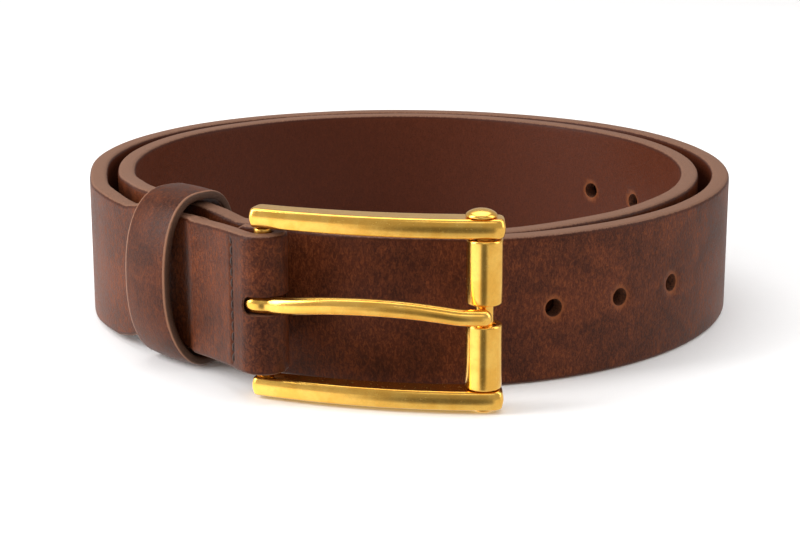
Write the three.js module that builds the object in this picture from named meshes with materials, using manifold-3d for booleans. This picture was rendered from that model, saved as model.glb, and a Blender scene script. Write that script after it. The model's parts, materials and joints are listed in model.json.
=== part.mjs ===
// A leather belt coiled in two turns on its edge, with a brass roller buckle.
// Millimetres, +Z up, origin on the floor under the middle of the belt.
import * as THREE from 'three';
import { mergeVertices } from 'three/addons/utils/BufferGeometryUtils.js';
import Module from 'manifold-3d';

const wasm = await Module();
wasm.setup();

// Driving dimensions. Travel is the angle gone round the coil from its front, clockwise
// from above: 90 is the left side, 180 the back, and the second turn starts at 360.
const GAP = 0.3;                       // room left between pieces that touch
const COIL_CENTRE = [0.1, 8.7];        // where the coil's own centre lies in the part's frame
const STRAP = { wide: 35, thick: 4.6, corner: 0.9, start: 38.5, tip: 728, tipLength: 30, step: 4.3 };
const FOLD = { wide: 32, low: 6.5, thick: 3.7, back: 3.0, lean: 60, from: -35, to: 168, steps: 12 };
const FLAP = { thick: 1.6, end: 0.97, start: 0.24, level: 0.75, steps: 12 };   // shares of the lead line
const BAR = { x: -32.6, y: -83.9, radius: 2.0, room: 0.25, pin: 1.2, pinLong: 2.6 };
const KEEPER = { travel: 44.6, long: 14, wall: 2.2, middle: 76.5, half: 12, low: 0.05, high: 41.35 };
const LOOP = { sides: 44, front: 2.35, back: 3.2 };       // how square the keeper is, front and back
const HELD = { front: 80.7, third: 73.9, from: 30, frontTo: [72, 98], thirdTo: [57, 78] };
const PUNCH = { radius: 2.15, front: [309.2, 322.3, 335.6], row: 587.3, pitch: 14.0, count: 5 };
const STITCH = { along: 4.4, pitch: 2.5, count: 12, radius: 0.35, groove: 1.5, deep: 0.8 };
const SEAM = { count: 7, pitch: 1.8, long: 6.0, z: 22 };
const FRAME = { low: 0.8, high: 44.0, arm: 4.4, left: 3.0, right: 3.5, bow: 2.4, bevel: 0.8 };
const REACH = { left: 2.4, right: 4.5, squareness: 4 };   // how far the arms pass the bar and the post
const POST = { x: 16.1, y: -93.7, radius: 2.1, head: 3.5, rim: 0.3, shift: -0.8, dome: 1.6 };
const FOOT = { deep: 0.4, narrow: 2.2, wide: 2.8 };
const SLEEVE = { radius: 4.0, bore: 2.4, middle: 22.5, split: 4.6, rim: 0.35 };
const PRONG = { eye: 5.1, eyeHigh: 3.2, eyeRound: 0.8, thick: 3.4, tipHigh: 3.7, steps: 22, z: 22.5 };
const SLOT = { half: 2.05, end: -3.0 };

// The front layer's run from the hinge bar back to the keeper, in plan
const LEAD = [[-39.9, -79.6], [-44.3, -72.8], [-49.0, -66.2]];
const LEAD_STEPS = 15;
// The strap between the loop and the skived return: run and face from the bar, and thickness
const NECK = [[7.3, 0.8, 1.7], [5.5, -0.1, 2.0], [3.9, -1.6, 2.5]];
// The prong's centre line from its eye to its tip
const PRONG_LINE = [
  [-32.6, -87.3, 22.5], [-27, -90.2, 22.8], [-18, -93.4, 23.8], [-6, -96.1, 24.2],
  [6, -98.0, 23.4], [12, -98.5, 22.6], [16.4, -98.4, 22.5],
];

// How far the strap's outer face lies inside the coil's outline, by travel
const INSET = [
  [0, 0], [360, 0], [382, 2.0], [400, 3.4], [435, 6.8], [450, 7.3], [540, 5.8], [585, 7.3],
  [630, 7.9], [660, 7.6], [680, 7.0], [705, 4.95], [720, 5.0], [740, 5.9],
];
// Height of the strap's lower edge, by travel: it climbs through the keeper and to the buckle
const LOW = [
  [38, 4.8], [51.5, 4.8], [54.5, 2.9], [60, 1.4], [78, 0], [342, 0], [362, 0.7], [376, 0.55],
  [392, 1.0], [399, 3.2], [413, 3.2], [446, 0], [760, 0],
];
const WIDE = [[38, 32.0], [51.5, 32.0], [62, 34.4], [72, 35], [760, 35]];
const THICK = [[38, 3.8], [52, 3.8], [66, 4.6], [760, 4.6]];

const SKIN = { leather: 0x542c20, thread: 0x24130d, brass: 0xc9993f };

const radians = THREE.MathUtils.degToRad;
const smooth = (u) => u * u * (3 - 2 * u);

function along(stops, t) {
  // The value at t of a line of [t, value] stops, eased between neighbours
  const next = stops.findIndex(([at]) => at >= t);
  if (next === 0) return stops[0][1];
  const [[t0, v0], [t1, v1]] = [stops[next - 1], stops[next]];
  return v0 + (v1 - v0) * smooth((t - t0) / (t1 - t0));
}

function outline(t) {
  // Radius of the coil's outer face: nearly round, a little fuller at the back left
  const a = radians(t);
  return 82.3 - 2.7 * Math.cos(a) - 1.3 * Math.cos(2 * a) + 0.9 * Math.cos(3 * a) - 1.2 * Math.sin(2 * a);
}

function centreRadius(t) {
  // Through the keeper the layers are arcs about the coil's centre, so that it can slide
  const free = outline(t) - along(INSET, t) - along(THICK, t) / 2;
  const [turn, held, [full, none]] = t < 200
    ? [t, HELD.front, HELD.frontTo]
    : [t - 360, HELD.third, HELD.thirdTo];
  const rise = smooth(clamp01((turn - HELD.from / 3) / (2 * HELD.from / 3)));
  const fall = 1 - smooth(clamp01((turn - full) / (none - full)));
  return mix(free, held, t < 200 || t > 340 ? Math.min(rise, fall) : 0);
}

function clamp01(u) {
  return THREE.MathUtils.clamp(u, 0, 1);
}

function mix(a, b, u) {
  return a + (b - a) * u;
}

function polar(t, radius) {
  const a = radians(t);
  return [-Math.sin(a) * radius, -Math.cos(a) * radius];
}

// Bar axes in plan: run points from the bar along the front layer, face out of its outer face
const RUN = [-Math.cos(radians(FOLD.lean)), Math.sin(radians(FOLD.lean))];
const FACE = [-RUN[1], RUN[0]];

function atBar(run, face) {
  return [BAR.x + RUN[0] * run + FACE[0] * face, BAR.y + RUN[1] * run + FACE[1] * face];
}

function leadLine() {
  // Smooth centre line of the front layer, from the top of the fold to inside the keeper
  const radius = BAR.radius + BAR.room + FOLD.thick / 2;
  const inside = [39, 42, 45, 48, 51].map((t) => polar(t, centreRadius(t)));
  const points = [atBar(-1.2, radius - 0.12), atBar(1.2, radius), ...LEAD, ...inside];
  return new THREE.CatmullRomCurve3(points.map(([x, y]) => new THREE.Vector3(x, y, 0)), false, 'centripetal');
}

function leadShare(lead) {
  // Share of the lead line used before the coil's own stations take over
  const shares = Array.from({ length: 101 }, (_, i) => i / 100);
  return shares.findLast((u) => {
    const { x, y } = lead.getPointAt(u);
    return THREE.MathUtils.radToDeg(Math.atan2(-x, -y)) < STRAP.start - 1;
  });
}

function strapStations() {
  // Places along the strap's centre line, each with its lower edge, width and thickness:
  // the skived return, the loop round the bar, the front layer, then the coil to the tip
  const lead = leadLine();
  const places = [];
  const leadEnd = leadShare(lead);
  const foldRise = (u) => mix(FOLD.low, along(LOW, STRAP.start), u);
  const foldWide = (u) => mix(FOLD.wide, along(WIDE, STRAP.start), u);

  for (let i = 0; i <= FLAP.steps; i += 1) {
    const u = mix(FLAP.end, FLAP.start, i / FLAP.steps);
    const at = lead.getPointAt(u);
    const way = lead.getTangentAt(u);
    const drop = along(THICK, STRAP.start) / 2 + GAP + FLAP.thick / 2;
    const rise = Math.min(1, u / FLAP.level);
    places.push({ x: at.x + way.y * drop, y: at.y - way.x * drop, low: foldRise(rise),
      wide: foldWide(rise) - 1, thick: FLAP.thick });
  }
  for (const [run, face, thick] of NECK) {
    const [x, y] = atBar(run, face);
    places.push({ x, y, low: FOLD.low, wide: FOLD.wide, thick });
  }
  for (let i = 0; i <= FOLD.steps; i += 1) {
    const thick = mix(FOLD.back, FOLD.thick, i / FOLD.steps);
    const radius = BAR.radius + BAR.room + thick / 2;
    const a = radians(mix(FOLD.from, FOLD.to, i / FOLD.steps));
    const [x, y] = atBar(-Math.sin(a) * radius, -Math.cos(a) * radius);
    places.push({ x, y, low: FOLD.low, wide: FOLD.wide, thick });
  }
  for (let i = 1; i < LEAD_STEPS; i += 1) {
    const rise = i / LEAD_STEPS;
    const at = lead.getPointAt(leadEnd * rise);
    places.push({ x: at.x, y: at.y, low: foldRise(rise), wide: foldWide(rise),
      thick: mix(FOLD.thick, along(THICK, STRAP.start), rise) });
  }
  const count = Math.round((STRAP.tip - STRAP.start) / STRAP.step);
  for (let i = 0; i <= count; i += 1) {
    const t = mix(STRAP.start, STRAP.tip, i / count);
    const [x, y] = polar(t, centreRadius(t));
    places.push({ x, y, low: along(LOW, t), wide: along(WIDE, t), thick: along(THICK, t), t });
  }
  return places;
}

function skinRings(rings) {
  // Closed body through rings of points, with a flat fan on each end
  const size = rings[0].length;
  const points = rings.flat();
  const faces = [];
  for (let r = 0; r + 1 < rings.length; r += 1) {
    for (let i = 0; i < size; i += 1) {
      const a = r * size + i;
      const b = r * size + ((i + 1) % size);
      faces.push(a, b, a + size, b, b + size, a + size);
    }
  }
  const last = (rings.length - 1) * size;
  for (let i = 1; i + 1 < size; i += 1) {
    faces.push(0, i + 1, i, last, last + i, last + i + 1);
  }
  const geometry = new THREE.BufferGeometry();
  geometry.setAttribute('position', new THREE.Float32BufferAttribute(points.flatMap((p) => [p.x, p.y, p.z]), 3));
  geometry.setIndex(faces);
  return volume(geometry) < 0 ? flipped(geometry) : geometry;
}

function volume(geometry) {
  const p = geometry.attributes.position;
  const index = geometry.index.array;
  const [a, b, c] = [new THREE.Vector3(), new THREE.Vector3(), new THREE.Vector3()];
  let sum = 0;
  for (let i = 0; i < index.length; i += 3) {
    a.fromBufferAttribute(p, index[i]);
    b.fromBufferAttribute(p, index[i + 1]);
    c.fromBufferAttribute(p, index[i + 2]);
    sum += a.dot(b.cross(c));
  }
  return sum / 6;
}

function flipped(geometry) {
  const index = Array.from(geometry.index.array);
  for (let i = 0; i < index.length; i += 3) {
    [index[i + 1], index[i + 2]] = [index[i + 2], index[i + 1]];
  }
  geometry.setIndex(index);
  return geometry;
}

function strapRing(place, way, scale) {
  // Section of the strap, its corners taken off, standing across the way it runs
  const face = [-way[1], way[0]];
  const h = place.thick / 2;
  const c = Math.min(STRAP.corner, place.thick * 0.3);
  const mid = place.low + place.wide / 2;
  const half = (place.wide / 2) * scale;
  const corners = [[h, c - half], [h, half - c], [h - c, half], [c - h, half], [-h, half - c],
    [-h, c - half], [c - h, -half], [h - c, -half]];
  return corners.map(([out, up]) =>
    new THREE.Vector3(place.x + face[0] * out, place.y + face[1] * out, mid + up));
}

function strapBody() {
  const places = strapStations();
  const rings = places.map((place, i) => {
    const before = places[Math.max(i - 1, 0)];
    const after = places[Math.min(i + 1, places.length - 1)];
    const dx = after.x - before.x;
    const dy = after.y - before.y;
    const length = Math.hypot(dx, dy);
    return strapRing(place, [dx / length, dy / length], tipScale(place.t));
  });
  return skinRings(rings);
}

function tipScale(t) {
  // The strap's end is drawn in to a blunt rounded point
  if (t === undefined) return 1;
  const left = radians(STRAP.tip - t) * HELD.third;
  const u = THREE.MathUtils.clamp(1 - left / STRAP.tipLength, 0, 1);
  return mix(1, 0.3, u ** 2.5);
}

// Solids and cuts
function solid(geometry) {
  const bare = geometry.clone();
  bare.deleteAttribute('normal');
  bare.deleteAttribute('uv');
  const merged = mergeVertices(bare, 1e-4);
  return new wasm.Manifold(new wasm.Mesh({
    numProp: 3,
    vertProperties: new Float32Array(merged.attributes.position.array),
    triVerts: new Uint32Array(merged.index.array),
  }));
}

function meshGeometry(body) {
  const { vertProperties, triVerts } = body.getMesh();
  const geometry = new THREE.BufferGeometry();
  geometry.setAttribute('position', new THREE.BufferAttribute(new Float32Array(vertProperties), 3));
  geometry.setIndex(new THREE.BufferAttribute(new Uint32Array(triVerts), 1));
  return geometry;
}

function upright(geometry, x, y, z) {
  // A piece made along Y, stood up along Z with its middle at a point
  return geometry.rotateX(Math.PI / 2).translate(x, y, z);
}

function acrossAt(x, y, z, direction, radius, length, sides) {
  // A round cutter through a point, along a direction in plan
  const cutter = new THREE.CylinderGeometry(radius, radius, length, sides);
  cutter.rotateZ(Math.PI / 2).rotateZ(Math.atan2(direction[1], direction[0]));
  return cutter.translate(x, y, z);
}

function punch(t) {
  const [x, y] = polar(t, centreRadius(t));
  const z = along(LOW, t) + STRAP.wide / 2;
  return acrossAt(x, y, z, polar(t, 1), PUNCH.radius, STRAP.thick + 0.8, 20);
}

function strapGeometry() {
  let strap = solid(strapBody());
  const row = Array.from({ length: PUNCH.count }, (_, i) => PUNCH.row + i * PUNCH.pitch);
  for (const t of [...PUNCH.front, ...row]) {
    strap = strap.subtract(solid(punch(t)));
  }
  for (const cutter of [slotRound(), slotFront(), slotEnd(), stitchGroove()]) {
    strap = strap.subtract(solid(cutter));
  }
  return meshGeometry(strap);
}

// The slot that the prong's eye turns in, and the groove that the stitches lie in
function slotRound() {
  const round = new THREE.CylinderGeometry(PRONG.eye + GAP, PRONG.eye + GAP, 2 * SLOT.half, 40);
  return upright(round, BAR.x, BAR.y, PRONG.z);
}

function slotFront() {
  const through = 4 * frontFace();
  const box = new THREE.BoxGeometry(through, through, 2 * SLOT.half);
  box.translate(SLOT.end - through / 2, 0, 0).applyMatrix4(barTurn());
  return box.translate(BAR.x, BAR.y, PRONG.z);
}

function slotEnd() {
  const [x, y] = atBar(SLOT.end, 0);
  return acrossAt(x, y, PRONG.z, FACE, SLOT.half, 4 * frontFace(), 24);
}

function barTurn() {
  return new THREE.Matrix4().makeBasis(
    new THREE.Vector3(RUN[0], RUN[1], 0),
    new THREE.Vector3(FACE[0], FACE[1], 0),
    new THREE.Vector3(0, 0, RUN[0] * FACE[1] - RUN[1] * FACE[0]),
  );
}

function frontFace() {
  return BAR.radius + BAR.room + FOLD.thick;
}

function stitchGroove() {
  const box = new THREE.BoxGeometry(STITCH.groove, 2 * STITCH.deep, FOLD.wide + 4);
  box.translate(STITCH.along, frontFace(), 0).applyMatrix4(barTurn());
  return box.translate(BAR.x, BAR.y, FOLD.low + FOLD.wide / 2);
}

function threadRing(at, way, face, radius) {
  // Hexagonal section of a thread, square to the way it runs on a face
  const side = new THREE.Vector3(face[0], face[1], 0);
  const up = new THREE.Vector3().crossVectors(way, side).normalize();
  return Array.from({ length: 6 }, (_, i) => at.clone()
    .addScaledVector(side, radius * Math.cos((Math.PI * i) / 3))
    .addScaledVector(up, radius * Math.sin((Math.PI * i) / 3)));
}

function foldStitching() {
  // Thread sunk in its groove: full in the middle of each stitch, pulled thin at its ends
  const [x, y] = atBar(STITCH.along, frontFace() - STITCH.deep + GAP + STITCH.radius);
  const z0 = FOLD.low + (FOLD.wide - STITCH.pitch * STITCH.count) / 2;
  const fullness = [0.45, 0.9, 1, 0.9];
  const way = new THREE.Vector3(0, 0, 1);
  const rings = Array.from({ length: 4 * STITCH.count + 1 }, (_, i) =>
    threadRing(new THREE.Vector3(x, y, z0 + (i * STITCH.pitch) / 4), way, FACE,
      STITCH.radius * fullness[i % 4]));
  return skinRings(rings);
}

// Keeper: a closed loop of leather, bent to the coil
function loopRing(inset) {
  // Its section in radius and height: rounder at the front, fuller at the back
  const halfWide = KEEPER.half - inset;
  const halfHigh = (KEEPER.high - KEEPER.low) / 2 - inset;
  const middle = (KEEPER.high + KEEPER.low) / 2;
  return Array.from({ length: LOOP.sides }, (_, i) => {
    const a = (2 * Math.PI * i) / LOOP.sides;
    const power = 2 / (Math.cos(a) > 0 ? LOOP.front : LOOP.back);
    return new THREE.Vector2(
      KEEPER.middle + halfWide * Math.sign(Math.cos(a)) * Math.abs(Math.cos(a)) ** power,
      middle + halfHigh * Math.sign(Math.sin(a)) * Math.abs(Math.sin(a)) ** power,
    );
  });
}

function keeperGeometry() {
  const shape = new THREE.Shape(loopRing(0));
  shape.holes.push(new THREE.Path(loopRing(KEEPER.wall)));
  const band = new THREE.ExtrudeGeometry(shape, { depth: KEEPER.long, steps: 5, bevelEnabled: false });
  return bendRound(band);
}

function bendRound(band) {
  // Wraps a band made in the radius and height plane round the coil's centre
  const p = band.attributes.position;
  for (let i = 0; i < p.count; i += 1) {
    const t = KEEPER.travel + THREE.MathUtils.radToDeg((p.getZ(i) - KEEPER.long / 2) / HELD.front);
    const [x, y] = polar(t, p.getX(i));
    p.setXYZ(i, x, y, p.getY(i));
  }
  const bare = band.clone();
  bare.deleteAttribute('normal');
  bare.deleteAttribute('uv');
  const merged = mergeVertices(bare, 1e-4);
  return volume(merged) < 0 ? flipped(merged) : merged;
}

function keeperStitching() {
  // One thread laced to and fro over the keeper's butt joint, on its inner side
  const back = KEEPER.middle - KEEPER.half;
  const radius = back - GAP - STITCH.radius;
  const corners = Array.from({ length: SEAM.count }, (_, i) => {
    const off = (i - (SEAM.count - 1) / 2) * SEAM.pitch;
    const [x, y] = polar(KEEPER.travel + THREE.MathUtils.radToDeg(off / back), radius);
    return new THREE.Vector3(x, y, SEAM.z + (i % 2 ? 0.5 : -0.5) * SEAM.long);
  });
  const line = new THREE.CatmullRomCurve3(corners, false, 'catmullrom', 0.15);
  const rings = Array.from({ length: 8 * (SEAM.count - 1) + 1 }, (_, i) => {
    const u = i / (8 * (SEAM.count - 1));
    return threadRing(line.getPoint(u), line.getTangent(u), polar(KEEPER.travel, 1), STITCH.radius);
  });
  return skinRings(rings);
}

// Buckle
function armShape() {
  // Square-ended bar in plan, bowed outwards between the hinge bar and the roller post
  const chord = new THREE.Vector2(POST.x - BAR.x, POST.y - BAR.y);
  const across = new THREE.Vector2(chord.y, -chord.x).normalize();
  const middle = (u) => new THREE.Vector2(BAR.x, BAR.y).addScaledVector(chord, u)
    .addScaledVector(across, 4 * FRAME.bow * u * (1 - u));
  const slope = (u) => chord.clone().addScaledVector(across, 4 * FRAME.bow * (1 - 2 * u)).normalize();
  const from = (u, ahead, aside) => {
    const turn = slope(u);
    return middle(u).add(new THREE.Vector2(turn.x * ahead + turn.y * aside, turn.y * ahead - turn.x * aside));
  };
  const half = (u) => mix(FRAME.left, FRAME.right, u) - FRAME.bevel;
  const cap = (u, way, reach) => Array.from({ length: 9 }, (_, i) => {
    const a = (Math.PI * (i + 1)) / 10;
    const power = 2 / REACH.squareness;
    const aside = Math.sign(Math.cos(a)) * Math.abs(Math.cos(a)) ** power * half(u);
    return from(u, way * (reach - FRAME.bevel) * Math.sin(a) ** power, way * aside);
  });
  const steps = Array.from({ length: 15 }, (_, i) => i / 14);
  return new THREE.Shape([
    ...steps.map((u) => from(u, 0, half(u))),
    ...cap(1, 1, REACH.right),
    ...steps.reverse().map((u) => from(u, 0, -half(u))),
    ...cap(0, -1, REACH.left),
  ]);
}

function armGeometry(low, socketLow, socketHigh) {
  // An arm with a socket for the hinge bar's pin and a bore for the roller post
  const body = new THREE.ExtrudeGeometry(armShape(), {
    depth: FRAME.arm - 2 * FRAME.bevel, bevelThickness: FRAME.bevel, bevelSize: FRAME.bevel, bevelSegments: 3,
  });
  body.translate(0, 0, low + FRAME.bevel);
  const socket = new THREE.CylinderGeometry(BAR.pin + GAP, BAR.pin + GAP, socketHigh - socketLow, 20);
  const bore = new THREE.CylinderGeometry(SLEEVE.bore, SLEEVE.bore, 3 * FRAME.arm, 28);
  return meshGeometry(solid(body)
    .subtract(solid(upright(socket, BAR.x, BAR.y, (socketLow + socketHigh) / 2)))
    .subtract(solid(upright(bore, POST.x, POST.y, low + FRAME.arm / 2))));
}

function lowerArm() {
  const top = FRAME.low + FRAME.arm;
  return armGeometry(FRAME.low, top - BAR.pinLong - GAP, top + BAR.pinLong);
}

function upperArm() {
  const under = FRAME.high - FRAME.arm;
  return armGeometry(under, under - BAR.pinLong, under + BAR.pinLong + GAP);
}

function turned(profile, sides, x, y) {
  // A lathe-turned piece on an upright axis, from [radius, height] points
  const points = profile.map(([r, z]) => new THREE.Vector2(r, z));
  return new THREE.LatheGeometry(points, sides).rotateX(Math.PI / 2).translate(x, y, 0);
}

function hingeBar() {
  // A round bar between the arms, with a thinner pin at each end that sits in the arm
  const low = FRAME.low + FRAME.arm + GAP;
  const high = FRAME.high - FRAME.arm - GAP;
  return turned([[0, low - BAR.pinLong], [BAR.pin, low - BAR.pinLong], [BAR.pin, low], [BAR.radius, low],
    [BAR.radius, high], [BAR.pin, high], [BAR.pin, high + BAR.pinLong], [0, high + BAR.pinLong]],
  24, BAR.x, BAR.y);
}

function rollerPost() {
  // One rivet: a round foot under the lower arm, the shank, and a domed head, set a little
  // off the shank, on the upper arm
  const top = FRAME.high + GAP;
  const foot = FRAME.low - GAP;
  const rim = POST.rim;
  const dome = Array.from({ length: 6 }, (_, i) => {
    const a = (Math.PI / 2) * (i / 5);
    return [i === 5 ? 0 : POST.head * Math.cos(a), top + rim + (POST.dome - rim) * Math.sin(a)];
  });
  const shank = turned([[0, foot - FOOT.deep], [FOOT.narrow, foot - FOOT.deep], [FOOT.wide, foot],
    [POST.radius, foot], [POST.radius, top + rim], [0, top + rim]], 28, POST.x, POST.y);
  const head = turned([[0, top], [POST.head - rim, top], ...dome], 28, POST.x + POST.shift, POST.y);
  return meshGeometry(solid(shank).add(solid(head)));
}

function sleeve(low, high) {
  const { bore, radius: r, rim } = SLEEVE;
  return turned([[bore, low], [r - rim, low], [r, low + rim], [r, high - rim], [r - rim, high],
    [bore, high], [bore, low]], 32, POST.x, POST.y);
}

function lowerRoller() {
  return sleeve(FRAME.low + FRAME.arm + GAP, SLEEVE.middle - SLEEVE.split / 2);
}

function upperRoller() {
  return sleeve(SLEEVE.middle + SLEEVE.split / 2, FRAME.high - FRAME.arm - GAP);
}

function prongGeometry() {
  // A rod bent to lie on the post between the rollers, with an eye round the hinge bar
  const line = new THREE.CatmullRomCurve3(PRONG_LINE.map((p) => new THREE.Vector3(...p)));
  const rings = [];
  const tipSteps = 4;
  for (let i = 0; i <= PRONG.steps + tipSteps; i += 1) {
    const u = Math.min(1, i / PRONG.steps);
    const tip = radians(83) * (Math.max(0, i - PRONG.steps) / tipSteps);
    const way = line.getTangentAt(u);
    const at = line.getPointAt(u).addScaledVector(way, (PRONG.thick / 2) * Math.sin(tip));
    rings.push(prongRing(at, way, u, Math.cos(tip)));
  }
  const inner = BAR.radius + BAR.room;
  const [low, high] = [PRONG.z - PRONG.eyeHigh / 2, PRONG.z + PRONG.eyeHigh / 2];
  const [out, cut] = [PRONG.eye, PRONG.eyeRound];
  const eye = turned([[inner, low], [out - cut, low], [out, low + cut], [out, high - cut], [out - cut, high],
    [inner, high], [inner, low]], 36, BAR.x, BAR.y);
  const bore = new THREE.CylinderGeometry(inner, inner, 12, 36);
  return meshGeometry(solid(skinRings(rings)).subtract(solid(upright(bore, BAR.x, BAR.y, PRONG.z)))
    .add(solid(eye)));
}

function prongRing(at, way, u, scale) {
  const out = new THREE.Vector3(way.y, -way.x, 0).normalize();
  const up = new THREE.Vector3().crossVectors(way, out).normalize();
  const thick = (PRONG.thick / 2) * scale;
  const high = (mix(PRONG.eyeHigh, PRONG.tipHigh, smooth(u)) / 2) * scale;
  return Array.from({ length: 12 }, (_, i) => {
    const a = (2 * Math.PI * i) / 12;
    return at.clone().addScaledVector(out, thick * Math.cos(a)).addScaledVector(up, high * Math.sin(a));
  });
}

// Finishes
function leather() {
  return new THREE.MeshStandardMaterial({ color: SKIN.leather, roughness: 0.5, metalness: 0 });
}

function waxedThread() {
  return new THREE.MeshStandardMaterial({ color: SKIN.thread, roughness: 0.8, metalness: 0 });
}

function satinBrass() {
  return new THREE.MeshStandardMaterial({ color: SKIN.brass, roughness: 0.32, metalness: 1 });
}

function piece(name, geometry, material) {
  const mesh = new THREE.Mesh(geometry, material);
  mesh.name = name;
  return mesh;
}

function strapGroup() {
  const group = new THREE.Group();
  group.add(piece('strap', strapGeometry(), leather()));
  group.add(piece('fold_stitching', foldStitching(), waxedThread()));
  return group;
}

function keeperGroup() {
  const group = new THREE.Group();
  group.add(piece('keeper', keeperGeometry(), leather()));
  group.add(piece('keeper_stitching', keeperStitching(), waxedThread()));
  return group;
}

function buckleGroup() {
  const group = new THREE.Group();
  group.add(piece('lower_arm', lowerArm(), satinBrass()));
  group.add(piece('upper_arm', upperArm(), satinBrass()));
  group.add(piece('hinge_bar', hingeBar(), satinBrass()));
  group.add(piece('roller_post', rollerPost(), satinBrass()));
  group.add(piece('lower_roller', lowerRoller(), satinBrass()));
  group.add(piece('upper_roller', upperRoller(), satinBrass()));
  group.add(piece('prong', prongGeometry(), satinBrass()));
  return group;
}

const belt = new THREE.Group();
belt.position.set(COIL_CENTRE[0], COIL_CENTRE[1], 0);
belt.add(strapGroup(), keeperGroup(), buckleGroup());

export default belt;
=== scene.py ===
"""A leather belt coiled in two turns on its edge, with a keeper and a brass roller buckle."""

import json
import math

import bmesh
import bpy
import numpy as np
from bpy.props import FloatProperty, FloatVectorProperty, IntProperty, PointerProperty
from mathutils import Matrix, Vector, noise


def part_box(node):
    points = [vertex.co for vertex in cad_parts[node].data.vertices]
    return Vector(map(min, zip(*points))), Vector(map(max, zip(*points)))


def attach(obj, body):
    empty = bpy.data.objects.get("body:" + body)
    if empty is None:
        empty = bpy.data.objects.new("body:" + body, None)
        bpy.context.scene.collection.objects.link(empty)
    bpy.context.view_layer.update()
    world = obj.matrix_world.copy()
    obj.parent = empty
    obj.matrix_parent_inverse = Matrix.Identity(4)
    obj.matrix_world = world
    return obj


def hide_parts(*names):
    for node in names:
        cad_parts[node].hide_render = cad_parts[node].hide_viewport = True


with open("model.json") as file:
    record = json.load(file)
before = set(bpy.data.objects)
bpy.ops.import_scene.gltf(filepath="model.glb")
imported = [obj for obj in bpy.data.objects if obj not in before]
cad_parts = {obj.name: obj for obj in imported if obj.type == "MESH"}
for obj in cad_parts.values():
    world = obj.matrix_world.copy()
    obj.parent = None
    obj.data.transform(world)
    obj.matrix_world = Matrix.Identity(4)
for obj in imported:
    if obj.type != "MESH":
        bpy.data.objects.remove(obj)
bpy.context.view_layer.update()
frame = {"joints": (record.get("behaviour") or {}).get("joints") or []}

bl_info = {
    "name": "Coiled Leather Belt",
    "version": (1, 0, 0),
    "blender": (4, 5, 0),
    "location": "3D View > Sidebar > Belt",
    "description": "Builds a coiled leather belt with a brass roller buckle around its fixed frame",
    "category": "Add Mesh",
}

MM = 0.001
JOINTS = {joint["name"]: joint for joint in frame["joints"]}
COIL = np.array(JOINTS["keeper_slide"]["pos_m"])[:2] / MM
BAR = np.array(JOINTS["frame_swing"]["pos_m"])[:2] / MM - COIL
POST = np.array(JOINTS["upper_roller_spin"]["pos_m"])[:2] / MM - COIL


def span(node, axis):
    """Lowest and highest place of a CAD node along an axis, in millimetres."""
    low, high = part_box(node)
    return low[axis] / MM, high[axis] / MM


# The belt's own sizes, in millimetres. Travel is the angle gone round the coil from its front,
# clockwise from above; the second turn starts at 360.
STRAP = {"wide": 35.0, "start": 38.5, "tip": 728.0, "step": 4.3, "tip_length": 30.0,
         "tip_share": 0.3, "nose": 4.0}
FOLD = {"wide": 32.0, "low": 6.5, "thick": 3.7, "back": 3.0, "lean": 60.0, "from": -35,
        "to": 168, "steps": 12}
# The skived return. From, to and risen are shares of the front layer's length: where it begins,
# where it meets the neck, and where it stands as high as the layer itself.
FLAP = {"thick": 1.6, "narrower": 1.0, "from": 0.97, "to": 0.24, "steps": 12, "risen": 0.75}
# Run, face and thickness where the return goes over into the fold, about the hinge bar.
NECK = [(7.3, 0.8, 1.7), (5.5, -0.1, 2.0), (3.9, -1.6, 2.5)]
BAR_RADIUS, BAR_ROOM, PIN_RADIUS, PIN_PLAY, GAP = 2.0, 0.25, 1.2, 0.2, 0.3
HELD = {"front": 80.7, "third": 73.9, "from": 30.0, "front_to": (72, 98), "third_to": (57, 78)}
LEAD = [(-39.9, -79.6), (-44.3, -72.8), (-49.0, -66.2)]
LEAD_FROM, LEAD_INTO, LEAD_STEPS = [(-1.2, -0.12), (1.2, 0)], (39, 42, 45, 48, 51), 15
INSET = [(0, 0), (360, 0), (382, 2.0), (400, 3.4), (435, 6.8), (450, 7.3), (540, 5.8), (585, 7.3),
         (630, 7.9), (660, 7.6), (680, 7.0), (705, 4.95), (720, 5.0), (740, 5.9)]
LOW = [(38, 4.8), (51.5, 4.8), (54.5, 2.9), (60, 1.4), (78, 0), (342, 0), (362, 0.7), (376, 0.55),
       (392, 1.0), (399, 3.2), (413, 3.2), (446, 0), (760, 0)]
WIDE = [(38, 32.0), (51.5, 32.0), (62, 34.4), (72, 35), (760, 35)]
THICK = [(38, 3.8), (52, 3.8), (66, 4.6), (760, 4.6)]
HOLES = [309.2, 322.3, 335.6] + [587.3 + 14.0 * place for place in range(5)]
KEEPER = {"travel": 44.6, "long": 14.0, "wall": 1.95, "middle": 76.5, "half": 12.0, "low": 0.05,
          "high": 41.35, "seam": 22.0, "front_power": 2.35, "back_power": 3.2, "splay": 2.2,
          "bulge": 0.22, "still": 24.0}
LACING = {"count": 7, "pitch": 1.8, "high": 5.6, "drop": 1.35, "clear": 0.12, "sink": 0.5}
SEWING = {"groove": 0.62, "sunk": 0.32, "half": 0.41, "sink": 0.45}
SLOT = {"half": 2.2, "end": -3.0, "long": 16.0, "through": 26.0}
EYE_ROOM = {"radius": 5.4, "half": 2.2}
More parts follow.
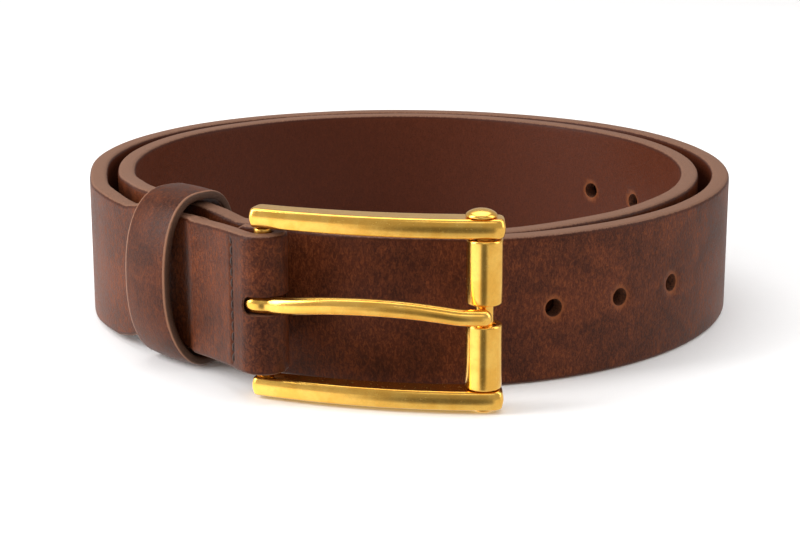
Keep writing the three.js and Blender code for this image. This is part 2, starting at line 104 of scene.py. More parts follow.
# The punched holes: the cutter's length, how far the leather round them sinks and within what
# reach, the reach of the worn rim, how deep both go, and where the strap's faces begin.
PUNCH = {"through": 6.4, "sink": 0.38, "sink_reach": 1.7, "worn_reach": 0.85, "depth": 3.2,
         "face": 1.9}
ARM = {"left": 3.0, "right": 3.5, "bow": 2.4, "past_bar": 2.4, "past_post": 4.5, "square": 4.0}
BORE = {"arm": 2.25, "roller": 2.4, "past": 3.0}
POST_SHAPE = {"foot": 2.2, "flare": 2.75, "shank": 2.1, "neck": 3.1, "head": 3.5, "aside": -0.8}
PRONG = {"rod": 2.8, "thick": 3.4, "high": 3.8, "tip_high": 3.6, "long": 50.0, "power": 2.3}
# The prong's height above the floor, then its line from the bar to the tip.
PRONG_Z = 22.5
PRONG_LINE = [(-27, -90.2, 22.95), (-18, -93.4, 23.95), (-8, -95.8, 24.25), (0, -97.2, 23.95),
              (6, -98.1, 23.4), (11, -98.5, 22.8), (15.9, -98.2, 22.6)]
# The stage, in metres: what the lights look at, then each light's place and size
LIT, FLOOR_REACH = Vector((0, -0.02, 0.02)), 4.0
LIGHTS = {"key": ((-0.75, -0.17, 0.42), (0.4, 0.8)), "side": ((0.75, -0.12, 0.40), (0.4, 0.8)),
          "front": ((0.05, -0.85, 0.55), (0.5, 0.3)), "top": ((0.0, 0.25, 1.1), (1.2, 1.0))}

# Colours that no setting changes
HOLE_RIM = (0.25, 0.072, 0.020)
RAW_DARK, RAW_PALE = (0.045, 0.014, 0.006), (0.17, 0.052, 0.018)

# The fold's own directions: along the front layer and out of its face.
RUN = np.array([-math.cos(math.radians(FOLD["lean"])), math.sin(math.radians(FOLD["lean"]))])
FACE = np.array([-RUN[1], RUN[0]])


# Lines and sections
def smooth(u):
    return u * u * (3 - 2 * u)


def mix(a, b, u):
    return a + (b - a) * u


def clamp01(u):
    return min(1.0, max(0.0, u))


def signed_power(u, power):
    return math.copysign(abs(u) ** power, u)


def eased(stops, t):
    """The value at t of a line of (t, value) stops, eased between neighbours."""
    after = next(i for i, (at, _) in enumerate(stops) if at >= t)
    if after == 0:
        return stops[0][1]
    (t0, v0), (t1, v1) = stops[after - 1], stops[after]
    return mix(v0, v1, smooth((t - t0) / (t1 - t0)))


def outline(t):
    """Radius of the coil's outer face: nearly round, a little fuller at the back left."""
    a = math.radians(t)
    return (82.3 - 2.7 * math.cos(a) - 1.3 * math.cos(2 * a) + 0.9 * math.cos(3 * a)
            - 1.2 * math.sin(2 * a))


def centre_radius(t):
    """Through the keeper the layers are arcs about the coil's centre, so that it can slide."""
    free = outline(t) - eased(INSET, t) - eased(THICK, t) / 2
    first = t < 200
    turn = t if first else t - 360
    held = HELD["front"] if first else HELD["third"]
    full, none = HELD["front_to"] if first else HELD["third_to"]
    rise = smooth(clamp01((turn - HELD["from"] / 3) / (2 * HELD["from"] / 3)))
    fall = 1 - smooth(clamp01((turn - full) / (none - full)))
    return mix(free, held, min(rise, fall) if first or t > 340 else 0)


def polar(t, radius):
    a = math.radians(t)
    return np.array([-math.sin(a) * radius, -math.cos(a) * radius])


def at_bar(run, face):
    return BAR + RUN * run + FACE * face


def between(a, b, start, end, t):
    """From a at start to b at end, by the time t."""
    return ((end - t) * a + (t - start) * b) / (end - start)


def curve_through(points, steps):
    """Dense points on a smooth curve through the given ones, with steps points to each span."""
    points = np.asarray(points, float)
    padded = np.vstack([2 * points[0] - points[1], points, 2 * points[-1] - points[-2]])
    line = []
    for i in range(len(points) - 1):
        p0, p1, p2, p3 = padded[i:i + 4]
        knots = np.cumsum([0] + [max(np.linalg.norm(b - a), 1e-3) ** 0.5
                                 for a, b in ((p0, p1), (p1, p2), (p2, p3))])
        t0, t1, t2, t3 = knots
        for s in range(steps if i < len(points) - 2 else steps + 1):
            t = mix(t1, t2, s / steps)
            a1 = between(p0, p1, t0, t1, t)
            a2 = between(p1, p2, t1, t2, t)
            a3 = between(p2, p3, t2, t3, t)
            b1, b2 = between(a1, a2, t0, t2, t), between(a2, a3, t1, t3, t)
            line.append(between(b1, b2, t1, t2, t))
    return np.array(line)


def lengths(line):
    """Length gone along a line at each of its points."""
    return np.concatenate([[0], np.cumsum(np.linalg.norm(np.diff(line, axis=0), axis=1))])


def at_share(line, share):
    """The point at a share of a line's length."""
    gone = lengths(line)
    return np.array([np.interp(share * gone[-1], gone, line[:, k]) for k in range(line.shape[1])])


def directions(line):
    ways = np.gradient(line, axis=0)
    return ways / np.linalg.norm(ways, axis=1, keepdims=True)


def lead_line():
    """Centre line of the front layer, from the top of the fold to inside the keeper."""
    radius = BAR_RADIUS + BAR_ROOM + FOLD["thick"] / 2
    top = [at_bar(run, radius + face) for run, face in LEAD_FROM]
    inside = [polar(t, centre_radius(t)) for t in LEAD_INTO]
    return curve_through([*top, *LEAD, *inside], 40)


def strap_stations():
    """Rows of x, y, lower edge, width and thickness: the skived return, the loop round the
    bar, the front layer, then the coil to the tip."""
    lead = lead_line()
    ways = directions(lead)
    shares = lengths(lead) / lengths(lead)[-1]
    travels = np.degrees(np.arctan2(-lead[:, 0], -lead[:, 1]))
    lead_end = shares[np.nonzero(travels < STRAP["start"] - 1)[0][-1]]
    start_low, start_wide, start_thick = (eased(stops, STRAP["start"])
                                          for stops in (LOW, WIDE, THICK))
    drop = start_thick / 2 + GAP + FLAP["thick"] / 2
    rows = []
    for i in range(FLAP["steps"] + 1):
        u = mix(FLAP["from"], FLAP["to"], i / FLAP["steps"])
        k = int(np.searchsorted(shares, u))
        rise = min(1, u / FLAP["risen"])
        rows.append([lead[k, 0] + ways[k, 1] * drop, lead[k, 1] - ways[k, 0] * drop,
                     mix(FOLD["low"], start_low, rise),
                     mix(FOLD["wide"], start_wide, rise) - FLAP["narrower"], FLAP["thick"]])
    for run, face, thick in NECK:
        rows.append([*at_bar(run, face), FOLD["low"], FOLD["wide"], thick])
    for i in range(FOLD["steps"] + 1):
        u = i / FOLD["steps"]
        thick = mix(FOLD["back"], FOLD["thick"], u)
        radius = BAR_RADIUS + BAR_ROOM + thick / 2
        a = math.radians(mix(FOLD["from"], FOLD["to"], u))
        rows.append([*at_bar(-math.sin(a) * radius, -math.cos(a) * radius),
                     FOLD["low"], FOLD["wide"], thick])
    for i in range(1, LEAD_STEPS):
        u = i / LEAD_STEPS
        rows.append([*at_share(lead, lead_end * u), mix(FOLD["low"], start_low, u),
                     mix(FOLD["wide"], start_wide, u), mix(FOLD["thick"], start_thick, u)])
    count = round((STRAP["tip"] - STRAP["start"]) / STRAP["step"])
    for i in range(count + 1):
        t = mix(STRAP["start"], STRAP["tip"], i / count)
        rows.append([*polar(t, centre_radius(t)), eased(LOW, t), eased(WIDE, t), eased(THICK, t)])
    return np.array(rows)


def refined(rows, steps):
    """The stations with more between them: smooth in plan, even in the other values."""
    plan = curve_through(rows[:, :2], steps)
    every = np.arange(len(plan)) / steps
    rest = [np.interp(every, np.arange(len(rows)), rows[:, k]) for k in range(2, rows.shape[1])]
    return np.column_stack([plan, *rest])


# Meshes
def new_piece(name, mesh, materials, body, nodes, sharp=40):
    """Links a finished mesh as a piece that rides on a body and stands for its CAD nodes."""
    piece = bpy.data.objects.new(f"{name}_finished", mesh)
    bpy.context.scene.collection.objects.link(piece)
    for made in materials:
        if made.name not in mesh.materials:
            mesh.materials.append(made)
    mesh.shade_smooth()
    mesh.set_sharp_from_angle(angle=math.radians(sharp))
    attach(piece, body)
    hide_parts(*nodes)
    return piece


def skin(name, rings, wrap=False, maps=()):
    """A closed mesh through rings of points in millimetres about the coil's centre. The rings
    close on themselves if wrap is true, and otherwise each end has a cap. Maps are
    (name, values) with a pair of values for each point, and one more ring of them if it wraps."""
    rings = np.asarray(rings, float)
    count, size = rings.shape[:2]
    places = rings.reshape(-1, 3).copy()
    places[:, :2] += COIL
    r = np.arange(count if wrap else count - 1)
    i = np.arange(size)
    across, around = np.meshgrid(r, i, indexing="ij")
    beside = (around + 1) % size
    after = across + 1
    quads = np.stack([across * size + around, across * size + beside,
                      (after % count) * size + beside, (after % count) * size + around], axis=-1)
    sources = np.stack([across * size + around, across * size + beside,
                        after * size + beside, after * size + around], axis=-1)
    faces = quads.reshape(-1, 4).tolist()
    corner = sources.reshape(-1).tolist()
    if not wrap:
        first, last = list(range(size)), list(range((count - 1) * size, count * size))
        faces += [first[::-1], last]
        corner += first[::-1] + last
    mesh = bpy.data.meshes.new(name)
    mesh.from_pydata((places * MM).tolist(), [], faces)
    for map_name, values in maps:
        layer = mesh.uv_layers.new(name=map_name)
        flat = np.asarray(values, np.float32).reshape(-1, 2)[corner]
        layer.data.foreach_set("uv", flat.reshape(-1))
    return outward(mesh)


def outward(mesh):
    work = bmesh.new()
    work.from_mesh(mesh)
    bmesh.ops.recalc_face_normals(work, faces=work.faces)
    work.to_mesh(mesh)
    work.free()
    return mesh


def soft_corners(points, size, closed=False):
    """An outline of (radius, height) points with its corners rounded by small arcs."""
    points = [np.array(p, float) for p in points]
    line = []
    for i, p in enumerate(points):
        if not closed and i in (0, len(points) - 1):
            line.append(p)
            continue
        before, after = points[i - 1], points[(i + 1) % len(points)]
        near = [p + (q - p) * min(0.45, size / np.linalg.norm(q - p)) for q in (before, after)]
        for s in range(5):
            u = s / 4
            line.append((1 - u) ** 2 * near[0] + 2 * u * (1 - u) * p + u * u * near[1])
    return line


def lathe(name, profile, centre, sides=72, hollow=False):
    """A turned mesh on an upright axis. A hollow profile closes on itself; a solid one starts
    and ends on the axis."""
    turns = np.arange(sides) * 2 * math.pi / sides
    body = [p for p in profile if hollow or p[0] > 1e-6]
    rings = [[(centre[0] + p[0] * math.cos(a), centre[1] + p[0] * math.sin(a), p[1])
              for a in turns] for p in body]
    return skin(name, rings, wrap=hollow)


def sweep(line, thick, high, power, sides):
    """Rings of a soft-cornered section along a line: thick across in plan, high upright."""
    ways = directions(np.asarray(line))
    rings = []
    for i, (point, way) in enumerate(zip(line, ways)):
        out = np.array([way[1], -way[0], 0])
        out /= np.linalg.norm(out)
        up = np.cross(way, out)
        up *= math.copysign(1, up[2])
        a = np.arange(sides) * 2 * math.pi / sides
        across = np.sign(np.cos(a)) * np.abs(np.cos(a)) ** (2 / power) * thick[i] / 2
        rise = np.sign(np.sin(a)) * np.abs(np.sin(a)) ** (2 / power) * high[i] / 2
        rings.append(point + across[:, None] * out + rise[:, None] * up)
    return end_rounds(rings, ways, thick)


def end_rounds(rings, ways, thick):
    """Adds shrinking rings at both ends, for rounded ends."""
    turns = [math.radians(a) for a in (20, 40, 58, 73, 84)]
    ends = []
    for at, way, size in ((0, -ways[0], thick[0]), (-1, ways[-1], thick[-1])):
        middle = rings[at].mean(axis=0)
        ends.append([middle + (rings[at] - middle) * math.cos(a) + way * math.sin(a) * size / 2
                     for a in turns])
    return ends[0][::-1] + list(rings) + ends[1]


def cut(mesh, cutters):
    """The mesh with closed meshes cut out of it; the cut faces take the cutters' materials."""
    work = bpy.data.objects.new("work", mesh)
    bpy.context.scene.collection.objects.link(work)
    for cutter in cutters:
        tool = bpy.data.objects.new("cutter", cutter)
        bpy.context.scene.collection.objects.link(tool)
        change = work.modifiers.new("cut", "BOOLEAN")
        change.operation, change.solver, change.object = "DIFFERENCE", "EXACT", tool
        change.material_mode = "TRANSFER" if cutter.materials else "INDEX"
        shown = work.evaluated_get(bpy.context.evaluated_depsgraph_get())
        made = bpy.data.meshes.new_from_object(shown)
        work.modifiers.clear()
        work.data = made
        bpy.data.objects.remove(tool)
    made = work.data
    bpy.data.objects.remove(work)
    return made


def joined(name, meshes):
    """One mesh from several."""
    work = bmesh.new()
    for mesh in meshes:
        work.from_mesh(mesh)
    made = bpy.data.meshes.new(name)
    work.to_mesh(made)
    work.free()
    return made


def round_cutter(centre, axis, radius, length, sides=40):
    """A round cutter through a point, along a level axis."""
    axis = np.array([axis[0], axis[1], 0]) / np.linalg.norm(axis[:2])
    side = np.array([-axis[1], axis[0], 0])
    turns = np.arange(sides) * 2 * math.pi / sides
    ring = np.cos(turns)[:, None] * side * radius
    ring = ring + np.sin(turns)[:, None] * np.array([0, 0, radius])
    return skin("cutter", [centre + ring + axis * length * s for s in (-0.5, 0.5)])


# Shader helpers
def feed(tree, sockets, values):
    """Sets input sockets by name or number; a value may be another node's output."""
    for key, value in values.items():
        if isinstance(value, bpy.types.NodeSocket):
            tree.links.new(value, sockets[key])
        else:
            sockets[key].default_value = value


def add(tree, kind, inputs=None, **values):
    """A node with some of its properties and inputs set."""
    made = tree.nodes.new(kind)
    for key, value in values.items():
        setattr(made, key, value)
    feed(tree, made.inputs, inputs or {})
    return made


def scaled(tree, vector, scale):
    return add(tree, "ShaderNodeVectorMath", {0: vector, "Scale": scale},
               operation="SCALE").outputs[0]


def stretched(tree, vector, ways):
    return add(tree, "ShaderNodeVectorMath", {0: vector, 1: ways}, operation="MULTIPLY").outputs[0]


def noise_node(tree, vector, scale, detail, roughness=0.5, distortion=0.0):
    made = add(tree, "ShaderNodeTexNoise", {"Vector": vector, "Scale": scale, "Detail": detail,
               "Roughness": roughness, "Distortion": distortion})
    return made.outputs["Fac"]


def cells(tree, vector, scale, feature):
    return add(tree, "ShaderNodeTexVoronoi", {"Vector": vector, "Scale": scale},
               feature=feature).outputs["Distance"]


def math_node(tree, operation, a, b=0.0, c=0.0):
    return add(tree, "ShaderNodeMath", {0: a, 1: b, 2: c}, operation=operation).outputs[0]


def blend_colours(tree, factor, a, b, blend="MIX"):
    made = add(tree, "ShaderNodeMix", {0: factor, 6: a, 7: b}, data_type="RGBA", blend_type=blend)
    return made.outputs[2]


def band(tree, value, low, high, from_value=0.0, to_value=1.0):
    """A smooth rise from one value to another as the input goes from low to high."""
    made = add(tree, "ShaderNodeMapRange", {"Value": value, "From Min": low, "From Max": high,
               "To Min": from_value, "To Max": to_value}, interpolation_type="SMOOTHSTEP")
    return made.outputs["Result"]


def group(name, inputs, outputs):
    """An empty shader node group with named sockets."""
    tree = bpy.data.node_groups.new(name, "ShaderNodeTree")
    for socket, kind, default in inputs:
        made = tree.interface.new_socket(socket, in_out="INPUT", socket_type=kind)
        if default is not None:
            made.default_value = default
    for socket, kind in outputs:
        tree.interface.new_socket(socket, in_out="OUTPUT", socket_type=kind)
    return tree, tree.nodes.new("NodeGroupInput").outputs, tree.nodes.new("NodeGroupOutput").inputs


def placed(tree, name, inputs):
    """A node group placed in a material, with its own values; it is built the first time."""
    if name not in bpy.data.node_groups:
        GROUPS[name](name)
    made = tree.nodes.new("ShaderNodeGroup")
    made.node_tree = bpy.data.node_groups[name]
    feed(tree, made.inputs, inputs)
    return made.outputs


def grain_group(name):
    """Hide's surface: cloudy dye, fine upright streaks, pores and creases, from a lay map."""
    tree, given, out = group(
        name,
        [("Lay", "NodeSocketVector", None), ("Size", "NodeSocketFloat", 1.0),
         ("Crease", "NodeSocketFloat", 0.5)],
        [("Cloud", "NodeSocketFloat"), ("Streak", "NodeSocketFloat"), ("Pore", "NodeSocketFloat"),
         ("Height", "NodeSocketFloat")])
    lay = scaled(tree, given["Lay"], math_node(tree, "DIVIDE", 1 / MM, given["Size"]))
    cloud = noise_node(tree, lay, 0.09, 4.0, 0.6, 0.6)
    streak = noise_node(tree, stretched(tree, lay, (1.0, 0.42, 1.0)), 1.9, 6.0, 0.78, 0.9)
    pore = band(tree, cells(tree, lay, 1.7, "F1"), 0.05, 0.42)
    crease = band(tree, cells(tree, lay, 0.8, "DISTANCE_TO_EDGE"), 0.0, 0.12)
    creased = math_node(tree, "MULTIPLY", crease, given["Crease"])
    height = math_node(tree, "MULTIPLY_ADD", streak, 0.9, creased)
    height = math_node(tree, "MULTIPLY_ADD", pore, 0.35, height)
    feed(tree, out, {"Cloud": band(tree, cloud, 0.3, 0.7), "Height": height, "Pore": pore,
                     "Streak": band(tree, streak, 0.42, 0.64)})


def cut_edge_group(name):
    """Where a strip's cut edge shows, and the narrow rim where it meets the faces."""
    tree, given, out = group(
        name,
        [("Section", "NodeSocketVector", None), ("Break", "NodeSocketFloat", 0.5),
         ("Width", "NodeSocketFloat", 0.5)],
        [("Edge", "NodeSocketFloat"), ("Rim", "NodeSocketFloat"), ("Inner", "NodeSocketFloat")])
    parts = add(tree, "ShaderNodeSeparateXYZ", {0: given["Section"]}).outputs
    uneven = math_node(tree, "MULTIPLY_ADD", given["Break"], -0.12, parts[1])
    far = math_node(tree, "DIVIDE", uneven, given["Width"])
    edge = band(tree, far, 0.35, 0.8, 1.0, 0.0)
    rim = math_node(tree, "MULTIPLY", band(tree, far, 0.3, 0.9),
                    band(tree, far, 1.1, 1.9, 1.0, 0.0))
    inner = band(tree, parts[0], -0.2, 0.2, 1.0, 0.0)
    feed(tree, out, {"Edge": edge, "Rim": rim, "Inner": inner})


def satin_group(name):
    """Brushed metal: fine scratches along one way, handling marks and a tarnish cloud."""
    tree, given, out = group(
        name,
        [("Place", "NodeSocketVector", None), ("Along", "NodeSocketVector", (0.06, 1.0, 1.0))],
        [("Scratch", "NodeSocketFloat"), ("Cloud", "NodeSocketFloat"),
         ("Mark", "NodeSocketFloat")])
    place = scaled(tree, given["Place"], 1 / MM)
    scratch = noise_node(tree, stretched(tree, place, given["Along"]), 6.0, 4.0, 0.7)
    cloud = noise_node(tree, place, 0.25, 3.0, 0.55)
    mark = noise_node(tree, place, 1.3, 5.0, 0.65)
    feed(tree, out, {"Scratch": scratch, "Cloud": band(tree, cloud, 0.35, 0.65),
                     "Mark": band(tree, mark, 0.45, 0.7)})


GROUPS = {"Hide Grain": grain_group, "Cut Edge": cut_edge_group, "Satin Metal": satin_group}


def material(name, build, *values):
    """The material of that name; build fills its tree the first time."""
    if name not in bpy.data.materials:
        made = bpy.data.materials.new(name)
        made.use_nodes = True
        tree = made.node_tree
        build(tree, next(n for n in tree.nodes if n.type == "BSDF_PRINCIPLED"), *values)
    return bpy.data.materials[name]


def surface(tree, shader, colour, roughness, height, strength, depth):
    """Feeds a material's shader its colour, roughness and a bump of a depth in millimetres."""
    bump = add(tree, "ShaderNodeBump", {"Height": height, "Strength": strength,
               "Distance": depth * MM}).outputs[0]
    feed(tree, shader.inputs, {"Base Color": colour, "Roughness": roughness, "Normal": bump})


def object_place(tree):
    return add(tree, "ShaderNodeTexCoord").outputs["Object"]


def rgb(colour, share=1.0):
    return (*(c * share for c in colour), 1.0)


def hide(tree, shader, face, warm, inner, edge, size, rough, crease, line):
    """Dyed leather with its grain face, its inner face, its burnished cut edges and a line of
    colour along the arrises. On the keeper the cut edges are darkened as painted shade and the
    arris line is a painted highlight.
    """
    lay = add(tree, "ShaderNodeUVMap", uv_map="Lay").outputs[0]
    section = add(tree, "ShaderNodeUVMap", uv_map="Section").outputs[0]
    worn = add(tree, "ShaderNodeAttribute", attribute_name="worn").outputs["Fac"]
    parts = add(tree, "ShaderNodeSeparateXYZ", {0: section}).outputs
    # The two faces are read at different heights, so that they don't share one grain.
    lifted = add(tree, "ShaderNodeCombineXYZ", {2: math_node(tree, "MULTIPLY", parts[0], 0.004)})
    place = add(tree, "ShaderNodeVectorMath", {0: lay, 1: lifted.outputs[0]}).outputs[0]
    grain = placed(tree, "Hide Grain", {"Lay": place, "Size": size, "Crease": crease})
    sides = placed(tree, "Cut Edge", {"Section": section, "Break": grain["Streak"], "Width": 0.55})

    colour = blend_colours(tree, grain["Cloud"], rgb(face, 0.5), rgb(face))
    warmth = math_node(tree, "MULTIPLY", grain["Streak"],
                       band(tree, grain["Cloud"], 0, 1, 0.4, 0.7))
    colour = blend_colours(tree, warmth, colour, rgb(warm))
    inside = blend_colours(tree, grain["Streak"], rgb(inner, 0.75), rgb(inner))
    colour = blend_colours(tree, sides["Inner"], colour, inside)
    pitted = math_node(tree, "MULTIPLY_ADD", grain["Pore"], 0.3, 0.7)
    colour = blend_colours(tree, 1.0, colour, pitted, "MULTIPLY")
    fibre = blend_colours(tree, grain["Streak"], rgb(edge, 0.7), rgb(edge))
    colour = blend_colours(tree, sides["Edge"], colour, fibre)
    # Colour along the arrises: a darker line on the strap, and on the keeper a light line that is a
    # painted highlight.
    colour = blend_colours(tree, math_node(tree, "MULTIPLY", sides["Rim"], line[0]), colour,
                           rgb(line[1]))
    colour = blend_colours(tree, worn, colour, rgb(HOLE_RIM))

    roughness = math_node(tree, "MULTIPLY_ADD", grain["Streak"], 0.16, rough)
    roughness = math_node(tree, "MULTIPLY_ADD", sides["Edge"], 0.08, roughness)
    shader.inputs["Specular IOR Level"].default_value = 0.14
    surface(tree, shader, colour, roughness, grain["Height"], 0.4, 0.12)


def raw(tree, shader):
    """The raw leather inside punched holes and slots."""
    fibre = noise_node(tree, object_place(tree), 2.2 / MM, 4.0, 0.7)
    colour = blend_colours(tree, band(tree, fibre, 0.35, 0.65), rgb(RAW_DARK), rgb(RAW_PALE))
    roughness = math_node(tree, "MULTIPLY_ADD", fibre, 0.2, 0.7)
    surface(tree, shader, colour, roughness, fibre, 0.5, 0.15)


def satin_brass(tree, shader, brass, along):
    """Satin brass, brushed along one way."""
    satin = placed(tree, "Satin Metal", {"Place": object_place(tree), "Along": along})
    colour = blend_colours(tree, satin["Cloud"], rgb(brass.shade_colour), rgb(brass.colour))
    tarnish = math_node(tree, "MULTIPLY", satin["Mark"], 0.15)
    colour = blend_colours(tree, tarnish, colour, rgb(brass.shade_colour, 0.72))
    shader.inputs["Metallic"].default_value = 1.0
    roughness = math_node(tree, "MULTIPLY_ADD", satin["Scratch"], 0.12, brass.roughness)
    roughness = math_node(tree, "MULTIPLY_ADD", satin["Mark"], 0.05, roughness)
    surface(tree, shader, colour, roughness, satin["Scratch"], 0.05, 0.02)


def waxed_thread(tree, shader, colour):
    """Waxed twisted thread."""
    twist = add(tree, "ShaderNodeTexWave", {"Vector": object_place(tree), "Scale": 0.9 / MM,
                "Distortion": 1.5, "Detail": 2.0}, wave_type="BANDS",
                bands_direction="DIAGONAL").outputs["Fac"]
    colour = blend_colours(tree, twist, rgb(colour, 0.5), rgb(colour))
    roughness = math_node(tree, "MULTIPLY_ADD", twist, 0.15, 0.5)
    surface(tree, shader, colour, roughness, twist, 0.6, 0.1)


def strap_leather():
    own = bpy.context.scene.belt_leather
    return material("strap_hide", hide, own.face_colour, own.warm_colour, own.inner_colour,
                    own.edge_colour, own.grain_size, own.roughness, 0.5,
                    (0.6, [c * 0.5 for c in own.face_colour]))


def keeper_leather():
    """The keeper's hide is smoother and darker than the strap's. Its cut edges take the strap's
    edge colour darkened as painted shade, and a light line along its arrises is a painted
    highlight.
    """
    own = bpy.context.scene.belt_leather
    return material("keeper_hide", hide, [c * 0.9 for c in own.face_colour],
                    [c * 0.75 for c in own.warm_colour], own.inner_colour,
                    # The keeper's cut edges: the strap's edge colour darkened as painted shade.
                    [c * 0.4 for c in own.edge_colour], own.grain_size * 0.8,
                    # The light line along the keeper's arrises is a painted highlight.
                    own.roughness - 0.04, 0.25, (0.8, own.arris_highlight_colour))


def raw_leather():
    return material("raw_leather", raw)


def brass_drawn():
    """The brass of the arms and the prong, brushed along them."""
    return material("brass_arms", satin_brass, bpy.context.scene.belt_brass, (0.05, 1.0, 1.0))


def brass_turned():
    """The brass of the turned pieces, brushed round them."""
    return material("brass_turned", satin_brass, bpy.context.scene.belt_brass, (1.0, 1.0, 0.08))


def thread():
    return material("waxed_thread", waxed_thread, bpy.context.scene.belt_thread.colour)


# Strap
def strap_section(place, scale, corner):
    """Section of the strap as (out, up, through, edge distance) rows, standing on its edge."""
    low, wide, thick = place[2:5]
    h, half = thick / 2, wide / 2 * scale
    c = min(corner, thick * 0.42)
    mid = low + wide / 2
    rows = []
    faces = np.linspace(c - half, half - c, 24)
    arc = [math.radians(a) for a in (18, 36, 54, 72)]
    for side in (1, -1):
        rows += [(side * h, side * up, side, half - abs(up)) for up in faces]
        rows += [(side * (h - c + c * math.cos(a)), side * (half - c + c * math.sin(a)),
                  side * (1 - 0.3 * (1 - math.cos(a))), c * (1 - math.sin(a))) for a in arc]
        rows += [(side * out, side * half, out / h * side, 0.0) for out in (h - c, 0.0, c - h)]
        rows += [(-side * (h - c + c * math.sin(a)), side * (half - c + c * math.cos(a)),
                  -side * (1 - 0.3 * (1 - math.sin(a))), c * (1 - math.cos(a))) for a in arc]
    rows = np.array(rows)
    rows[:, 1] += mid
    return rows


def tip_scale(left):
    """The strap's end is drawn in to a blunt rounded point."""
    drawn = mix(1, STRAP["tip_share"], clamp01(1 - left / STRAP["tip_length"]) ** 2.5)
    nose = clamp01(1 - left / STRAP["nose"])
    return drawn * math.sqrt(max(0.03, 1 - nose * nose))


def strap_mesh(corner, waver):
    """The strap's skin, with its lay map (along, up) and its section map (through, edge)."""
    places = refined(strap_stations(), 5)
    gone = lengths(places[:, :2])
    ways = directions(places[:, :2])
    fronts = np.array([-ways[:, 1], ways[:, 0]]).T
    stitch_line = at_bar(bpy.context.scene.belt_thread.along / MM, front_face())
    keeper = polar(KEEPER["travel"], HELD["front"])
    rings, lay, section = [], [], []
    for place, way, face, at in zip(places, ways, fronts, gone):
        rows = strap_section(place, tip_scale(gone[-1] - at), corner)
        free = 1 - math.exp(-(np.linalg.norm(place[:2] - keeper) / KEEPER["still"]) ** 4)
        sway = noise.noise(Vector((at * 0.02, 3.1, 0))) * waver * free
        lift = (0.5 + 0.5 * noise.noise(Vector((at * 0.05, 9.7, 0)))) * waver * free
        out = rows[:, 0].copy()
        near = np.linalg.norm(place[:2] + face * place[4] / 2 - stitch_line)
        dent = SEWING["groove"] * math.exp(-(near / SEWING["groove"]) ** 2)
        within = np.clip((rows[:, 3] - 1.2) / 0.8, 0, 1)
        out -= np.where(rows[:, 2] > 0.95, dent * within, 0)
        risen = rows[:, 1] + lift * np.clip(rows[:, 1] / STRAP["wide"], 0, 1)
        rings.append(np.column_stack([np.outer(out + sway, face) + place[:2], risen]))
        lay.append(np.column_stack([np.full(len(rows), at * MM), rows[:, 1] * MM]))
        section.append(rows[:, 2:4])
    return skin("strap", rings, maps=(("Lay", lay), ("Section", section)))


def front_face():
    return BAR_RADIUS + BAR_ROOM + FOLD["thick"]


def slot_cutter():
    """An oblong through both layers of the fold, with its round end towards the keeper."""
    half, end, mouth = SLOT["half"], SLOT["end"], SLOT["end"] - SLOT["long"]
    turns = [math.radians(a) for a in range(-90, 91, 9)]
    plan = [(end + half * math.cos(a), half * math.sin(a)) for a in turns]
    plan = [(mouth, -half)] + plan + [(mouth, half)]
    return skin("cutter", [[(*at_bar(run, SLOT["through"] * side), PRONG_Z + up)
                            for run, up in plan] for side in (-0.5, 0.5)])


def eye_room():
    """Room in the fold for the prong's eye."""
    return bore_cutter(BAR, EYE_ROOM["radius"], PRONG_Z - EYE_ROOM["half"],
                       PRONG_Z + EYE_ROOM["half"], 64)


def hole_frames():
    for t in HOLES:
        middle = eased(LOW, t) + STRAP["wide"] / 2
        yield np.array([*polar(t, centre_radius(t)), middle]), polar(t, 1)


def wear_rims(mesh, radius):
    """Sinks the leather round each punched hole a little and marks its worn rim."""
    points = np.zeros(len(mesh.vertices) * 3)
    mesh.vertices.foreach_get("co", points)
    points = points.reshape(-1, 3) / MM
    points[:, :2] -= COIL
    worn = np.zeros(len(points))
    for centre, axis in hole_frames():
        axis = np.array([*axis, 0])
        away = points - centre
        depth = away @ axis
        gap = np.linalg.norm(away - np.outer(depth, axis), axis=1) - radius
        near = np.abs(depth) < PUNCH["depth"]
        close = np.clip(1 - gap / PUNCH["sink_reach"], 0, 1) * near
        sink = np.sign(depth) * PUNCH["sink"] * close ** 2
        points -= np.outer(np.where(np.abs(depth) > PUNCH["face"], sink, 0), axis)
        worn = np.maximum(worn, np.clip(1 - gap / PUNCH["worn_reach"], 0, 1) * (close > 0))
    mark = mesh.attributes.new("worn", "FLOAT", "POINT")
    mark.data.foreach_set("value", (worn ** 1.3 * 0.8).astype(np.float32))
    points[:, :2] += COIL
    mesh.vertices.foreach_set("co", (points * MM).reshape(-1))
    mesh.update()


class BELT_OT_strap(bpy.types.Operator):
    """Build the coiled strap with its fold, slot and punched holes"""

    bl_idname = "belt.strap"
    bl_label = "Strap"

    def execute(self, context):
        own = context.scene.belt_leather
        radius = own.hole_radius / MM
        mesh = strap_mesh(own.edge_round / MM, own.waver / MM)
        holes = [round_cutter(centre, axis, radius, PUNCH["through"])
                 for centre, axis in hole_frames()]
        cutters = [joined("cutters", holes), slot_cutter(), eye_room()]
        mesh.materials.append(strap_leather())
        for made in (mesh, *cutters):
            made.materials.append(raw_leather())
        mesh = cut(mesh, cutters)
        wear_rims(mesh, radius)
        new_piece("strap", mesh, [], "strap", ["strap"], 50)
        return {"FINISHED"}


